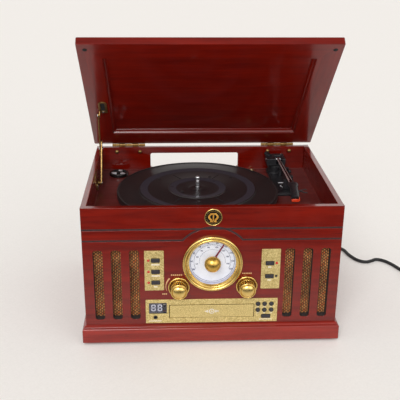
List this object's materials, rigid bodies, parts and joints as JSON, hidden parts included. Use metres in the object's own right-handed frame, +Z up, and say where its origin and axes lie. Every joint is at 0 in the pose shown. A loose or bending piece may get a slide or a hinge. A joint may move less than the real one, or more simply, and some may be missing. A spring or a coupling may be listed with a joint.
{
  "type": "tabletop music centre",
  "caption": "Wooden tabletop music centre with a hinged lid over a turntable, a round radio dial, two knobs, push buttons, speaker grilles and a disc drawer.",
  "frame": {"origin": "centre of the cabinet's underside, between the feet", "axes": "+Z up, +X to the right seen from the front, +Y towards the back, so the controls face -Y"},
  "size_m": [0.6833, 0.4063, 0.5169],
  "materials": {
    "mahogany": "glossy red-brown lacquer",
    "black_plastic": "fine satin moulding",
    "gloss_black": "glossy moulding",
    "black_rubber": "matt",
    "brass": "aged bright brass",
    "gilt": "polished gilt",
    "champagne": "speckled champagne gold",
    "steel": "bright",
    "grille_cloth": "open weave",
    "dial_white": "printed silver-white",
    "pointer_red": "gloss",
    "clear_lens": "clear",
    "smoked_window": "smoked",
    "circuit_board": "solder-masked board"
  },
  "bodies": {
    "cabinet": {"plinth": "mahogany", "bottom_panel": "black_plastic", "side_panel_left": "mahogany", "side_panel_right": "mahogany", "front_panel": "mahogany", "back_panel": "mahogany", "deck_board": "mahogany", "rear_jack_plate": "black_plastic", "grille_cloth_left": "grille_cloth", "grille_cloth_right": "grille_cloth", "speaker_left": "black_plastic", "speaker_right": "black_plastic", "badge": "gilt", "dial_bezel": "gilt", "dial_face": "dial_white", "dial_lens": "clear_lens", "source_plate": "champagne", "band_plate": "champagne", "cd_fascia": "champagne", "display_window": "smoked_window", "cd_mechanism": "black_plastic", "main_board": "circuit_board", "power_cord": "black_rubber", "hinge_left_body_leaf": "brass", "hinge_right_body_leaf": "brass", "stay_base_bracket": "brass", "motor": "steel", "drive_belt": "black_rubber", "tonearm_base": "black_plastic"},
    "lid": {"lid": "mahogany", "hinge_left_lid_leaf": "brass", "hinge_right_lid_leaf": "brass", "stay_lid_bracket": "brass"},
    "stay_lower": {"stay_lower_arm": "brass"},
    "stay_upper": {"stay_upper_arm": "brass"},
    "platter": {"platter": "gloss_black", "spindle": "steel"},
    "motor_drive": {"motor_pulley": "brass"},
    "arm_pivot": {"tonearm_gimbal": "black_plastic"},
    "arm": {"tonearm": "gloss_black", "cartridge": "gloss_black"},
    "cue": {"cue_lever": "black_plastic"},
    "speed": {"speed_selector": "black_plastic"},
    "volume": {"volume_knob": "gilt"},
    "tuning": {"tuning_knob": "gilt"},
    "pointer": {"dial_pointer": "pointer_red"},
    "drawer": {"cd_tray": "champagne"},
    "adapter": {"adapter_45": "black_plastic"},
    "source_1": {"source_button_1": "black_plastic"},
    "source_2": {"source_button_2": "black_plastic"},
    "source_3": {"source_button_3": "black_plastic"},
    "band_1": {"band_button_1": "black_plastic"},
    "band_2": {"band_button_2": "black_plastic"},
    "cd_1": {"cd_button_1": "black_plastic"},
    "cd_2": {"cd_button_2": "black_plastic"},
    "cd_3": {"cd_button_3": "black_plastic"},
    "cd_4": {"cd_button_4": "black_plastic"},
    "cd_5": {"cd_button_5": "black_plastic"},
    "cd_6": {"cd_button_6": "black_plastic"},
    "open_key": {"open_button": "black_plastic"}
  },
  "joints": [
    {"name": "lid_hinge", "type": "hinge", "parent": "cabinet", "child": "lid", "pos_m": [0, 0.1745, 0.253], "axis": [-1, 0, 0], "range_deg": [-46.2, 0]},
    {"name": "stay_lower_hinge", "type": "hinge", "parent": "cabinet", "child": "stay_lower", "pos_m": [-0.2032, 0.0511, 0.21527], "axis": [-1, 0, 0], "range_deg": [0, 36.3]},
    {"name": "stay_upper_hinge", "type": "hinge", "parent": "lid", "child": "stay_upper", "pos_m": [-0.206, 0.08095, 0.34188], "axis": [-1, 0, 0], "range_deg": [-36.3, 0]},
    {"name": "platter_spin", "type": "hinge", "parent": "cabinet", "child": "platter", "pos_m": [-0.019, -0.0015, 0.2], "axis": [0, 0, -1], "continuous": true},
    {"name": "motor_spin", "type": "hinge", "parent": "cabinet", "child": "motor_drive", "pos_m": [-0.112, 0.058, 0.2], "axis": [0, 0, -1], "continuous": true},
    {"name": "tonearm_swing", "type": "hinge", "parent": "cabinet", "child": "arm_pivot", "pos_m": [0.146, 0.1305, 0.23], "axis": [0, 0, -1], "range_deg": [0, 38]},
    {"name": "tonearm_lift", "type": "hinge", "parent": "arm_pivot", "child": "arm", "pos_m": [0.152, 0.1305, 0.234], "axis": [-1, 0, 0], "range_deg": [0, 10]},
    {"name": "cue_lever_lift", "type": "hinge", "parent": "cabinet", "child": "cue", "pos_m": [0.174, 0.14, 0.211], "axis": [-1, 0, 0], "range_deg": [0, 40]},
    {"name": "speed_turn", "type": "hinge", "parent": "cabinet", "child": "speed", "pos_m": [0.152, 0.043, 0.21], "axis": [0, 0, 1], "range_deg": [-30, 30]},
    {"name": "volume_turn", "type": "hinge", "parent": "cabinet", "child": "volume", "pos_m": [-0.0574, -0.17, 0.1042], "axis": [0, 1, 0], "range_deg": [0, 300]},
    {"name": "tuning_turn", "type": "hinge", "parent": "cabinet", "child": "tuning", "pos_m": [0.0599, -0.17, 0.1052], "axis": [0, 1, 0], "range_deg": [-480, 330]},
    {"name": "pointer_turn", "type": "hinge", "parent": "cabinet", "child": "pointer", "pos_m": [0.0003, -0.163, 0.149], "axis": [0, 1, 0], "range_deg": [-160, 110]},
    {"name": "drawer_slide", "type": "slide", "parent": "cabinet", "child": "drawer", "axis": [0, -1, 0], "range_m": [0, 0.13]},
    {"name": "adapter_lift", "type": "slide", "parent": "cabinet", "child": "adapter", "axis": [0, 0, 1], "range_m": [0, 0.02]},
    {"name": "source_1_press", "type": "slide", "parent": "cabinet", "child": "source_1", "axis": [0, 1, 0], "range_m": [0, 0.0015]},
    {"name": "source_2_press", "type": "slide", "parent": "cabinet", "child": "source_2", "axis": [0, 1, 0], "range_m": [0, 0.0015]},
    {"name": "source_3_press", "type": "slide", "parent": "cabinet", "child": "source_3", "axis": [0, 1, 0], "range_m": [0, 0.0015]},
    {"name": "band_1_press", "type": "slide", "parent": "cabinet", "child": "band_1", "axis": [0, 1, 0], "range_m": [0, 0.0015]},
    {"name": "band_2_press", "type": "slide", "parent": "cabinet", "child": "band_2", "axis": [0, 1, 0], "range_m": [0, 0.0015]},
    {"name": "cd_1_press", "type": "slide", "parent": "cabinet", "child": "cd_1", "axis": [0, 1, 0], "range_m": [0, 0.0015]},
    {"name": "cd_2_press", "type": "slide", "parent": "cabinet", "child": "cd_2", "axis": [0, 1, 0], "range_m": [0, 0.0015]},
    {"name": "cd_3_press", "type": "slide", "parent": "cabinet", "child": "cd_3", "axis": [0, 1, 0], "range_m": [0, 0.0015]},
    {"name": "cd_4_press", "type": "slide", "parent": "cabinet", "child": "cd_4", "axis": [0, 1, 0], "range_m": [0, 0.0015]},
    {"name": "cd_5_press", "type": "slide", "parent": "cabinet", "child": "cd_5", "axis": [0, 1, 0], "range_m": [0, 0.0015]},
    {"name": "cd_6_press", "type": "slide", "parent": "cabinet", "child": "cd_6", "axis": [0, 1, 0], "range_m": [0, 0.0015]},
    {"name": "open_key_press", "type": "slide", "parent": "cabinet", "child": "open_key", "axis": [0, 1, 0], "range_m": [0, 0.0015]}
  ],
  "couplings": [
    {"joint": "stay_lower_hinge", "follows": "lid_hinge", "ratio": -0.78439},
    {"joint": "stay_upper_hinge", "follows": "lid_hinge", "ratio": 0.78439},
    {"joint": "motor_spin", "follows": "platter_spin", "ratio": 12},
    {"joint": "pointer_turn", "follows": "tuning_turn", "ratio": 0.3333}
  ]
}
